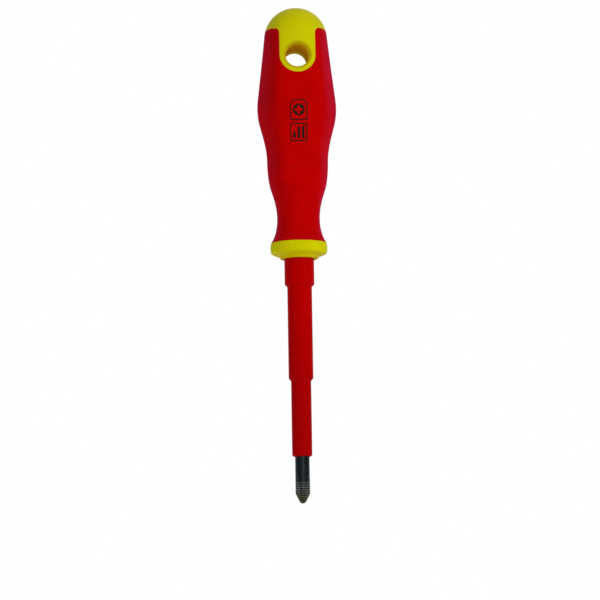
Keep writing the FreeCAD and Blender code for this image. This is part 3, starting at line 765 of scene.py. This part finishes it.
def build_bar_mark():
    """A frame round three upright bars that grow towards +X."""
    patches = Patchwork()
    add_frame(patches, BAR_LOW, BAR_HIGH, FRAME_ROUND, FRAME_INNER_ROUND)
    foot = BAR_LOW + BAR_MARGIN
    for i, height in enumerate(BAR_HEIGHTS):
        left = BAR_X + BAR_PITCH * i
        z = np.linspace(foot, foot + height, 9)
        sides = [np.stack([np.full(9, x), z], -1) for x in (left, left + BAR_WIDTH)]
        film(patches, *sides, across=4, closed=False)
    return add_mesh("ink_bar_mark", patches)


# ------------------------------------------------------------------ shader helpers
class Shader:
    """An emptied node tree with short ways to add nodes and join them."""

    def __init__(self, owner):
        owner.use_nodes = True
        self.tree = owner.node_tree
        self.tree.nodes.clear()

    def add(self, kind, inputs, **settings):
        """Adds a node and returns its outputs. Inputs are values or other nodes' outputs."""
        node = self.tree.nodes.new("ShaderNode" + kind)
        for name, value in settings.items():
            setattr(node, name, value)
        for key, value in inputs.items():
            socket = node.inputs[key]
            if isinstance(value, bpy.types.NodeSocket):
                self.tree.links.new(value, socket)
            else:
                socket.default_value = (*value, 1) if socket.type == "RGBA" else value
        return node.outputs

    def calc(self, operation, *values):
        return self.add("Math", dict(enumerate(values)), operation=operation)[0]

    def times(self, first, second):
        return self.calc("MULTIPLY", first, second)

    def plus(self, first, second):
        return self.calc("ADD", first, second)

    def span(self, value, over, to=(0.0, 1.0), kind="SMOOTHSTEP"):
        """Maps the range over onto the range to, held at its ends."""
        return self.add("MapRange", dict(enumerate((value, *over, *to))),
                        interpolation_type=kind, clamp=True)[0]

    def mix_shaders(self, share, first, second):
        return self.add("MixShader", {0: share, 1: first, 2: second})[0]


class Material(Shader):
    """A Principled material whose patterns are laid out in the object's millimetres."""

    def __init__(self, name):
        self.material = bpy.data.materials.new(name)
        super().__init__(self.material)
        place = self.add("TexCoord", {})["Object"]
        self.mm = self.add("VectorMath", {0: place, "Scale": 1000.0}, operation="SCALE")[0]

    def axes(self):
        return self.add("SeparateXYZ", {0: self.mm})

    def noise(self, scale, detail, rough, stretch=(1, 1, 1), shift=(0, 0, 0)):
        place = self.add("Mapping", {0: self.mm, "Scale": stretch, "Location": shift})[0]
        return self.add("TexNoise", {"Vector": place, "Scale": scale, "Detail": detail,
                                     "Roughness": rough})["Fac"]

    def mix(self, share, first, second):
        """Colour between first (share 0) and second (share 1)."""
        node = self.tree.nodes.new("ShaderNodeMix")
        node.data_type = "RGBA"
        colours = [socket for socket in node.inputs if socket.type == "RGBA"]
        for socket, value in zip((node.inputs[0], *colours), (share, first, second)):
            if isinstance(value, bpy.types.NodeSocket):
                self.tree.links.new(value, socket)
            else:
                socket.default_value = (*value, 1) if socket.type == "RGBA" else value
        return [socket for socket in node.outputs if socket.type == "RGBA"][0]

    def finish(self, inputs, bumps):
        """Sets the Principled inputs; bumps are (height pattern, depth in mm)."""
        normal = {}
        for height, depth in bumps:
            bump = {"Strength": 1.0, "Distance": depth * MM, "Height": height, **normal}
            normal = {"Normal": self.add("Bump", bump)[0]}
        skin = self.add("BsdfPrincipled", {**inputs, **normal})[0]
        self.add("OutputMaterial", {0: skin})
        return self.material


# ------------------------------------------------------------------ materials
CLOUDY = (0.35, 0.65)              # range of a broad noise that colours vary over
GRAINY = (0.3, 0.7)                # range of a fine noise that roughness varies over


def grip_red():
    mat = Material("soft_grip_red")
    x, _, z = mat.axes()
    cloud = mat.noise(scale=0.16, detail=3, rough=0.55)
    fine = mat.noise(scale=3.2, detail=3, rough=0.6)
    grain = mat.noise(scale=9.0, detail=2, rough=0.6)
    base = mat.mix(mat.span(cloud, over=CLOUDY), (0.485, 0.0, 0.0), (0.530, 0.0, 0.0))
    base = mat.mix(mat.span(fine, over=(0.62, 0.80), to=(0, 0.20)), base, (0.56, 0.006, 0.008))
    # painted shade: the neck is a little darker
    base = mat.mix(mat.span(z, over=(114, 130), to=(0.22, 0.0)), base, (0.40, 0.0, 0.001))
    # a slightly polished, paler bloom on the broadest part of the ridges
    patchy = mat.noise(scale=0.7, detail=4, rough=0.65, shift=(3, 1, 7))
    wear = mat.times(mat.span(mat.calc("ABSOLUTE", x), over=(12.5, 16.4)),
                     mat.span(patchy, over=(0.52, 0.70)))
    base = mat.mix(mat.times(wear, 0.35), base, (0.52, 0.012, 0.02))
    rough = mat.plus(mat.span(fine, over=GRAINY, to=(0.50, 0.58)), mat.times(wear, -0.06))
    return mat.finish({"Base Color": base, "Roughness": rough, "Specular IOR Level": 0.012,
                       "Sheen Weight": 0.42, "Sheen Roughness": 0.27,
                       "Sheen Tint": (0.10, 0.035, 0.90)},
                      bumps=[(grain, 0.010), (fine, 0.012)])


def sleeve_red():
    mat = Material("sleeve_red")
    z = mat.axes()[2]
    cloud = mat.noise(scale=0.12, detail=3, rough=0.5, stretch=(1, 1, 0.35))
    fine = mat.noise(scale=4.0, detail=3, rough=0.6)
    base = mat.mix(mat.span(cloud, over=CLOUDY), (0.445, 0.0, 0.0), (0.475, 0.0, 0.0))
    # painted shade: darker towards the point than towards the handle
    deep = mat.mix(0.7, base, (0.315, 0.0, 0.0006))
    base = mat.mix(mat.span(z, over=(30, 100)), deep, base)
    # light scuffs along the tube
    streaks = mat.noise(scale=1.6, detail=4, rough=0.6, stretch=(2.2, 2.2, 0.10),
                        shift=(5, 2, 0))
    scuff = mat.span(streaks, over=(0.62, 0.74))
    base = mat.mix(mat.times(scuff, 0.10), base, (0.50, 0.006, 0.008))
    rough = mat.plus(mat.span(fine, over=GRAINY, to=(0.38, 0.45)), mat.times(scuff, 0.08))
    return mat.finish({"Base Color": base, "Roughness": rough, "Specular IOR Level": 0.012,
                       "Sheen Weight": 0.12, "Sheen Roughness": 0.28,
                       "Sheen Tint": (0.15, 0.10, 0.6)}, bumps=[(fine, 0.006)])


def yellow(name, shift, collar=False):
    """Yellow plastic; shift moves the noise so that pieces differ."""
    mat = Material(name)
    x, y, z = mat.axes()
    cloud = mat.noise(scale=0.13, detail=3, rough=0.5, shift=(shift, 0, 0))
    fine = mat.noise(scale=5.0, detail=3, rough=0.6, shift=(0, shift, 0))
    base = mat.mix(mat.span(cloud, over=CLOUDY), (0.590, 0.560, 0.0), (0.625, 0.590, 0.0008))
    stain = mat.span(mat.noise(scale=0.9, detail=5, rough=0.7, shift=(shift, 4, 2)),
                     over=(0.66, 0.78))
    base = mat.mix(mat.times(stain, 0.22), base, (0.52, 0.45, 0.008))
    rough = mat.plus(mat.span(fine, over=GRAINY, to=(0.36, 0.44)), mat.times(stain, 0.10))
    if collar:
        # painted reflection: the underside and lip are tinted with red light bounced from the
        # sleeve
        painted_red_bounce = mat.plus(mat.span(z, over=(103.5, 104.7), to=(0.26, 0.0)),
                        mat.span(z, over=(102.5, 103.1), to=(0.46, 0.0)))
        base = mat.mix(painted_red_bounce, base, (0.60, 0.40, 0.0))
    # distance from the hanging hole's axis
    away = mat.calc("SQRT", mat.plus(
        mat.times(x, x), mat.calc("POWER", mat.calc("SUBTRACT", z, HOLE_Z), 2.0)))
    # painted reflected light: the hole's wall is tinted orange-brown for light bounced inside the
    # hole, most of all deep inside
    deep = mat.span(mat.calc("ABSOLUTE", y), over=(6.0, 12.6), to=(1.0, 0.45))
    wall = mat.times(mat.span(away, over=(5.0, 5.30), to=(1, 0)), deep)
    # its rounded rim is a little darker than the face
    rim = mat.times(mat.span(away, over=(5.05, 5.35)),
                    mat.span(away, over=(5.55, 6.40), to=(1, 0)))
    base = mat.mix(rim, base, (0.485, 0.385, 0.0))
    # painted reflected light on the hole's wall
    base = mat.mix(wall, base, (0.84, 0.56, 0.02))
    # no shine or sheen inside the hole
    open_air = mat.calc("SUBTRACT", 1.0, mat.span(away, over=(5.0, 5.35), to=(1, 0)))
    return mat.finish({"Base Color": base, "Roughness": rough,
                       "Specular IOR Level": mat.times(open_air, 0.012 if collar else 0.03),
                       "Sheen Weight": mat.times(open_air, 0.03), "Sheen Roughness": 0.3,
                       "Sheen Tint": (0.2, 0.2, 0.7)}, bumps=[(fine, 0.004), (cloud, 0.05)])


def painted_rib_highlights(mat, x, y, z):
    """Painted highlights: bright bands on the crests of the ribs, weaker outside the flutes."""
    phase = mat.plus(mat.calc("SUBTRACT", z, RIB_Z), RIB_PITCH * 4)
    phase = mat.calc("MODULO", phase, RIB_PITCH)
    rib_highlight = mat.times(
        mat.span(phase, over=(RIB_WIDTH - 0.02, RIB_WIDTH + 0.08)),
        mat.span(phase, over=(RIB_PITCH - 0.07, RIB_PITCH - 0.01), to=(1, 0)))
    rib_highlight = mat.times(rib_highlight, mat.span(z, over=(8.9, 9.3), to=(1, 0)))
    patchy = mat.noise(scale=2.6, detail=4, rough=0.6)
    rib_highlight = mat.times(rib_highlight, mat.span(patchy, over=(0.30, 0.55), to=(0.45, 1.0)))
    # depth below the turned cone, taken as radius 1.086 + 0.487 z up to 3.06
    r = mat.calc("SQRT", mat.plus(mat.times(x, x), mat.times(y, y)))
    turned = mat.calc("MINIMUM", mat.calc("MULTIPLY_ADD", z, 0.487, 1.086), 3.06)
    depth = mat.calc("SUBTRACT", turned, r)
    return mat.times(rib_highlight, mat.span(depth, over=(0.08, 0.35), to=(0.60, 1.0)))


def painted_run_out_glints(mat, x, y, z):
    """Painted glints where the flutes run out, on the diagonals between X and Y."""
    lean = mat.calc("ABSOLUTE", mat.calc(
        "SUBTRACT", mat.calc("ABSOLUTE", x), mat.calc("ABSOLUTE", y)))
    band = mat.times(mat.span(z, over=(8.9, 9.5)), mat.span(z, over=(10.2, 11.6), to=(1, 0)))
    glint = mat.times(mat.span(lean, over=(0.1, 0.7), to=(1, 0)), band)
    patchy = mat.noise(scale=1.3, detail=2, rough=0.5, shift=(4, 4, 2))
    return mat.times(glint, mat.span(patchy, over=(0.42, 0.56)))


def steel():
    mat = Material("black_finished_steel")
    x, y, z = mat.axes()
    cloud = mat.noise(scale=0.5, detail=4, rough=0.6)
    brushed = mat.noise(scale=1.2, detail=3, rough=0.6, stretch=(9, 9, 0.35))
    turned = mat.noise(scale=2.4, detail=3, rough=0.6, stretch=(0.3, 0.3, 9))
    dark = mat.mix(mat.span(cloud, over=CLOUDY), (0.016, 0.021, 0.024), (0.024, 0.030, 0.033))
    # painted highlights on the rib crests
    rib_highlight = painted_rib_highlights(mat, x, y, z)
    wear = mat.span(mat.noise(scale=1.7, detail=5, rough=0.65, shift=(2, 7, 1)),
                    over=(0.60, 0.72))
    # painted glints where the flutes run out
    run_out = painted_run_out_glints(mat, x, y, z)
    # bright joins the painted rib and run-out highlights with real wear spots
    bright = mat.calc("MAXIMUM", mat.times(rib_highlight, 0.75), mat.times(wear, 0.12))
    bright = mat.calc("MAXIMUM", bright, mat.times(run_out, 0.85))
    # painted reflection: both tones are browner towards the point, for a warm surrounding
    # reflected there
    near_point = (1.0, 7.0)
    dark = mat.mix(mat.span(z, over=near_point, to=(0.75, 0.0)), dark, (0.026, 0.023, 0.009))
    pale = mat.mix(mat.span(z, over=near_point, to=(1.0, 0.0)),
                   (0.20, 0.21, 0.185), (0.155, 0.150, 0.062))
    base = mat.mix(bright, dark, pale)
    rough = mat.plus(mat.span(brushed, over=GRAINY, to=(0.30, 0.42)), mat.times(bright, 0.05))
    return mat.finish({"Base Color": base, "Roughness": rough, "Metallic": 0.85,
                       "Specular IOR Level": 0.15}, bumps=[(brushed, 0.004), (turned, 0.002)])


def ink():
    mat = Material("print_black")
    fine = mat.noise(scale=7.0, detail=4, rough=0.65)
    base = mat.mix(mat.span(fine, over=(0.58, 0.75)),
                   (0.0035, 0.0035, 0.0022), (0.010, 0.006, 0.004))
    return mat.finish({"Base Color": base, "Specular IOR Level": 0.2,
                       "Roughness": mat.span(fine, over=GRAINY, to=(0.50, 0.62))},
                      bumps=[(fine, 0.003)])


# ------------------------------------------------------------------ the pieces
def piece(obj, node, material):
    obj.data.materials.append(material)
    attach(obj, "root")
    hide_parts(node)


red, tube_red, metal, print_ink = grip_red(), sleeve_red(), steel(), ink()
piece(build_grip(), "grip", red)
piece(build_cap(), "end_cap", yellow("cap_yellow", shift=0.0))
piece(build_collar(), "guard_collar",
      yellow("collar_yellow", shift=9.0, collar=True))
piece(build_sleeve(), "blade_sleeve", tube_red)
piece(build_blade(), "blade", metal)
piece(build_tip_mark(), "printed_tip_mark", print_ink)
piece(build_bar_mark(), "printed_bar_mark", print_ink)
for core_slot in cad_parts["handle_core"].material_slots:
    core_slot.material = yellow("core_yellow", shift=17.0)

# ------------------------------------------------------------------ floor
FLOOR_HALF, FLOOR_CELLS, FLOOR_Z = 2.0, 24, -0.0004
FLOOR_FADE = (0.15, 0.55)          # distances from the origin over which the floor vanishes
FLOOR_GLOW = 0.25                  # light the floor gives off, unseen by the camera


def floor_white():
    material = bpy.data.materials.new("floor_white")
    shader = Shader(material)
    paper = shader.add("BsdfDiffuse", {0: (0.86, 0.86, 0.86)})[0]
    camera_ray = shader.add("LightPath", {})["Is Camera Ray"]
    glow = shader.calc("MULTIPLY_ADD", camera_ray, -FLOOR_GLOW, FLOOR_GLOW)
    glow = shader.add("Emission", {"Strength": glow})[0]
    lit = shader.add("AddShader", {0: paper, 1: glow})[0]
    clear = shader.add("BsdfTransparent", {})[0]
    geometry = shader.add("NewGeometry", {})
    away = shader.add("VectorMath", {0: geometry["Position"]}, operation="LENGTH")["Value"]
    # clear far away and from below
    hidden = shader.calc("MAXIMUM", shader.span(away, over=FLOOR_FADE), geometry["Backfacing"])
    shader.add("OutputMaterial", {0: shader.mix_shaders(hidden, lit, clear)})
    return material


def build_floor():
    mesh = bpy.data.meshes.new("floor")
    row = FLOOR_CELLS + 1
    steps = [(i / FLOOR_CELLS * 2 - 1) * FLOOR_HALF for i in range(row)]
    quads = [(j * row + i, j * row + i + 1, (j + 1) * row + i + 1, (j + 1) * row + i)
             for j in range(FLOOR_CELLS) for i in range(FLOOR_CELLS)]
    mesh.from_pydata([(x, y, FLOOR_Z) for y in steps for x in steps], [], quads)
    obj = bpy.data.objects.new("floor", mesh)
    bpy.context.scene.collection.objects.link(obj)
    mesh.materials.append(floor_white())
    return obj


build_floor()


# ------------------------------------------------------------------ world and lights
def build_world():
    """White to the camera, soft from above for lighting, and a dim room in reflections."""
    world = bpy.data.worlds.new("studio")
    bpy.context.scene.world = world
    shader = Shader(world)
    seen = shader.add("Background", {0: (1, 1, 1), 1: 1.0})[0]
    direction = shader.add("TexCoord", {})["Generated"]
    axes = shader.add("SeparateXYZ", {0: direction})
    # reflections: brighter behind the tool (+Y) than on the camera's side
    room = shader.span(axes["Y"], over=(-0.5, 0.6), to=(0.06, 0.7))
    # more light comes from above than from below
    sky = shader.span(axes["Z"], over=(-1.0, 1.0), to=(0.23, 0.48), kind="LINEAR")
    soft = shader.add("Background", {0: (1, 1, 1), 1: sky})[0]
    # a soft bright patch beside the camera, in reflections only
    window = Vector((0.16, -0.95, 0.25)).normalized()
    facing_window = shader.add("VectorMath", {0: direction, 1: window},
                               operation="DOT_PRODUCT")["Value"]
    patch = shader.span(facing_window, over=(0.90, 0.995), to=(0.0, 2.2))
    mirrored = shader.add("Background", {0: (0.9, 0.97, 1), 1: shader.plus(room, patch)})[0]
    path = shader.add("LightPath", {})
    unseen = shader.mix_shaders(path["Is Glossy Ray"], soft, mirrored)
    shader.add("OutputWorld", {0: shader.mix_shaders(path["Is Camera Ray"], unseen, seen)})


def add_light(name, place, size, power):
    """A round area light aimed at the tool's middle and kept out of reflections."""
    data = bpy.data.lights.new(name, "AREA")
    data.shape = "DISK"
    data.size = size
    data.energy = power
    obj = bpy.data.objects.new(name, data)
    bpy.context.scene.collection.objects.link(obj)
    obj.location = place
    toward = Vector((0, 0, 0.11)) - Vector(place)
    obj.rotation_euler = toward.to_track_quat("-Z", "Y").to_euler()
    obj.visible_glossy = False


build_world()
add_light("key", place=(0.80, -0.92, 0.46), size=0.6, power=7.7)
add_light("fill", place=(-0.9, -0.8, 0.30), size=0.7, power=1.6)
add_light("back", place=(0.0, 1.30, 0.35), size=0.7, power=5.0)

scene = bpy.context.scene
scene.view_settings.view_transform = "Standard"
scene.view_settings.look = "None"
scene.view_settings.exposure = 0.0
scene.view_settings.gamma = 1.0

# ------------------------------------------------------------------ camera
AZIMUTH, ELEVATION, ROLL = math.radians(3.3), math.radians(8.2), math.radians(0.92)
CAMERA_TARGET, CAMERA_DISTANCE = Vector((0, 0, 0.1043)), 1.70
CAMERA_LENS, SENSOR_WIDTH = 244.29, 36.0
# Tangents by which the view is then turned off the target, along the camera's own axes
OFF_RIGHT, OFF_UP = -0.00023332924, 0.0112562937


def add_camera():
    view = Vector((math.sin(AZIMUTH) * math.cos(ELEVATION),
                   math.cos(AZIMUTH) * math.cos(ELEVATION), math.sin(ELEVATION)))
    level = Vector((math.cos(AZIMUTH), -math.sin(AZIMUTH), 0))
    upright = level.cross(view)
    right = level * math.cos(ROLL) - upright * math.sin(ROLL)
    up = level * math.sin(ROLL) + upright * math.cos(ROLL)
    forward = (view - right * OFF_RIGHT - up * OFF_UP).normalized()
    right = (right - forward * right.dot(forward)).normalized()
    up = right.cross(forward)
    data = bpy.data.cameras.new("camera")
    data.lens = CAMERA_LENS
    data.sensor_width = SENSOR_WIDTH
    data.clip_end = 20
    camera = bpy.data.objects.new("camera", data)
    scene.collection.objects.link(camera)
    turn = Matrix((right, up, -forward)).transposed().to_4x4()
    camera.matrix_world = Matrix.Translation(CAMERA_TARGET - view * CAMERA_DISTANCE) @ turn
    scene.camera = camera


add_camera()
